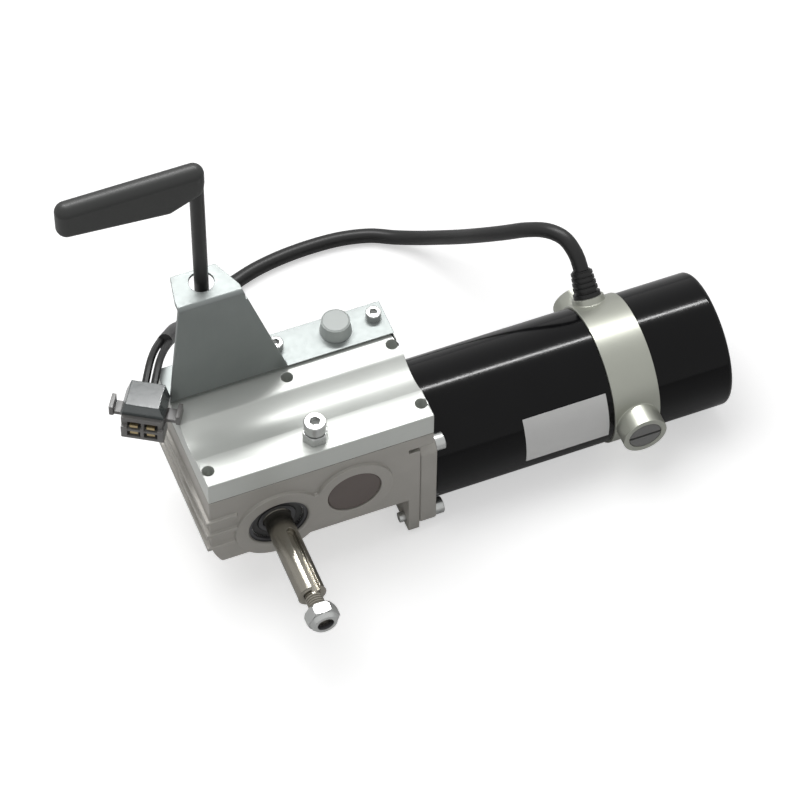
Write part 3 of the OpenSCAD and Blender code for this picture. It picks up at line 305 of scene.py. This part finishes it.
# ---- Output shaft, its bearing and its locknut ----
# A turned and ground shaft with a milled keyway, a threaded stub and a locknut. Its bearing sits
# behind a circlip and is closed by a dark rubber shield.
ground = grained("ground_steel", (0.27, 0.255, 0.22), 0.95, 0.24, 2000, 0.00002, tint=0.12, stretch=(1, 4, 1))
softened("output_shaft", "output", 0.0003, ground)
softened("output_nut", "output", 0.0003, plated)
bright = grained("bright_steel", (0.55, 0.55, 0.54), 0.9, 0.25, 1600, 0.00001)
dark = grained("dark_steel", (0.09, 0.09, 0.095), 0.7, 0.42, 1100, 0.00003, tint=0.2)


def turned_ring(name, profile, body, finish, spin_steps=64):
    """Spins a closed profile, given as (radius, y) pairs, round the output shaft's axis."""
    mesh = bpy.data.meshes.new(name)
    bm = bmesh.new()
    loop = [bm.verts.new((r, y, 0)) for r, y in profile]
    edges = [bm.edges.new((loop[i - 1], loop[i])) for i in range(len(loop))]
    bmesh.ops.spin(bm, geom=loop + edges, cent=(0, 0, 0), axis=(0, 1, 0), angle=2 * pi,
                   steps=spin_steps, use_merge=True)
    bmesh.ops.remove_doubles(bm, verts=bm.verts, dist=1e-6)
    bmesh.ops.recalc_face_normals(bm, faces=bm.faces)
    for face in bm.faces:
        face.smooth = True
    bm.to_mesh(mesh)
    bm.free()
    mesh.materials.append(finish)
    mesh.set_sharp_from_angle(angle=radians(30))
    piece = bpy.data.objects.new(name, mesh)
    scene.collection.objects.link(piece)
    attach(piece, body)


thread_r, thread_pitch, thread_from, thread_to = 0.0047, 0.0015, -0.0615, -0.0525
crest_height, core_r = 0.0003, 0.0040
turns = int((thread_to - thread_from) / thread_pitch)
crests = [(thread_r + (crest_height if k % 2 else 0.0), thread_from + k * thread_pitch / 2)
          for k in range(2 * turns)]
core = [(core_r, crests[-1][1]), (core_r, crests[0][1])]
turned_ring("stub_thread", crests + core, "output", ground)
shield_profile = [(0.0112, 0.0046), (0.0118, 0.0042), (0.0146, 0.0042), (0.0150, 0.0046),
                  (0.0150, 0.0052), (0.0112, 0.0052)]
turned_ring("bearing_shield", shield_profile, "gearmotor",
            grained("shield_rubber", (0.03, 0.03, 0.03), 0, 0.5, 800, 0.00003))
dress(["output_bearing_ring", "inner_bearing_rings", "bearing_balls",
       "counter_bearing_inners", "worm_bearing_inners", "armature_bearing_inners"], bright)
dress(["output_circlip", "output_bearing_inners"], dark)
collar_profile = [(0.0041, -0.0702), (0.0047, -0.0716), (0.0056, -0.0716), (0.0056, -0.0700),
                  (0.0041, -0.0694)]
turned_ring("nut_collar", collar_profile, "output", dark)
softened("bearing_cap", "gearmotor", 0.0003,
         grained("bearing_cap", (0.125, 0.10, 0.09), 0.1, 0.36, 500, 0.00003, tint=0.15))

# ---- Gear train and clutch ----
# Case-hardened gears and shafts with a bronze worm wheel, closed in by the castings. The keys and
# the collar couple the output gear to its shaft until the lever draws them off.
dress(["output_gear", "clutch_keys", "clutch_collar", "pinion", "drive_coupling", "brake_hub"], dark)
dress(["intermediate_shaft", "worm_shaft", "armature_shaft"], bright)
dress(["worm_wheel"], grained("cut_bronze", (0.52, 0.36, 0.15), 0.9, 0.32, 1200, 0.00002))

# ---- Motor shell ----
# A drawn steel tube and a tail cover sprayed gloss black, with a turned aluminium brush ring
# between them and a cast flange that four screws hold to the gearbox.
softened("motor_flange", "gearmotor", 0.0012, cast)
enamel = grained("black_enamel", (0.004, 0.004, 0.0045), 0, 0.13, 260, 0.00001, tint=0.3,
                 spread=0.03, spec=0.14)
softened("motor_tube", "gearmotor", 0.0004, enamel)
softened("tail_cover", "gearmotor", 0.0002, enamel, sharp=60)
turned = grained("turned_ring", (0.40, 0.41, 0.36), 0.55, 0.36, 900, 0.00002, tint=0.08,
                 stretch=(6, 0.2, 0.2))
softened("brush_ring", "gearmotor", 0.0004, turned)
softened("brush_caps", "gearmotor", 0.0002,
         grained("cap_plastic", (0.16, 0.16, 0.155), 0, 0.42, 700, 0.00003))
dress(["rating_label"], grained("blank_label", (0.70, 0.70, 0.69), 0, 0.45, 300, 0.00001, tint=0.04))

# ---- Inside the motor ----
# Stacked steel laminations with enamelled copper coils, ferrite magnets, carbon brushes in
# phenolic holders and a spring-applied brake at the tail.
dress(["rotor_core", "brake_body", "brake_armature_plate", "brake_end_plate"],
      grained("laminated_steel", (0.20, 0.20, 0.21), 0.7, 0.45, 300, 0.00005, stretch=(8, 1, 1)))
dress(["windings", "commutator", "brake_coil"],
      grained("enamelled_copper", (0.50, 0.19, 0.07), 0.8, 0.32, 700, 0.0001, stretch=(0.1, 1, 1)))
dress(["magnets"], grained("ferrite", (0.06, 0.06, 0.06), 0.2, 0.5, 800, 0.00004))
dress(["brush_holders"], grained("phenolic", (0.10, 0.055, 0.03), 0, 0.42, 500, 0.00003))
dress(["brushes"], grained("carbon", (0.02, 0.02, 0.02), 0.1, 0.55, 1500, 0.00003))
dress(["brush_springs", "brake_springs"], bright)
dress(["brake_disc"], grained("friction_lining", (0.09, 0.07, 0.05), 0, 0.7, 900, 0.00008))

# ---- Connector ----
# A moulded dark grey housing with a glossier, darker latch cover. Four tinned terminals sit in
# it, and the cable's two leads end at it.
plug_body = softened("connector_housing", "gearmotor", 0.0003,
                     grained("connector_plastic", (0.17, 0.165, 0.16), 0, 0.30, 800, 0.00004, tint=0.2))
latch_plastic = grained("latch_plastic", (0.085, 0.10, 0.10), 0, 0.20, 500, 0.00001, tint=0.1, coat=0.5)
plug_cover = softened("connector_latch", "gearmotor", 0.0004, latch_plastic)
dress(["connector_terminals"], grained("tinned_terminal", (0.45, 0.36, 0.2), 0.9, 0.3, 900, 0.00002))

# ---- Release lever ----
# A blackened steel rod that stands through the bracket's top plate, with a moulded black grip
# pushed on its end. A clip keeps the rod down in the bracket.
dress(["lever_rod", "lever_clip"],
      grained("blacked_rod", (0.035, 0.035, 0.035), 0.6, 0.34, 900, 0.00002, stretch=(1, 1, 0.1)))
softened("lever_grip", "lever", 0.0002,
         grained("grip_plastic", (0.022, 0.023, 0.022), 0, 0.46, 1100, 0.00008, tint=0.15), sharp=60)

bpy.context.view_layer.update()
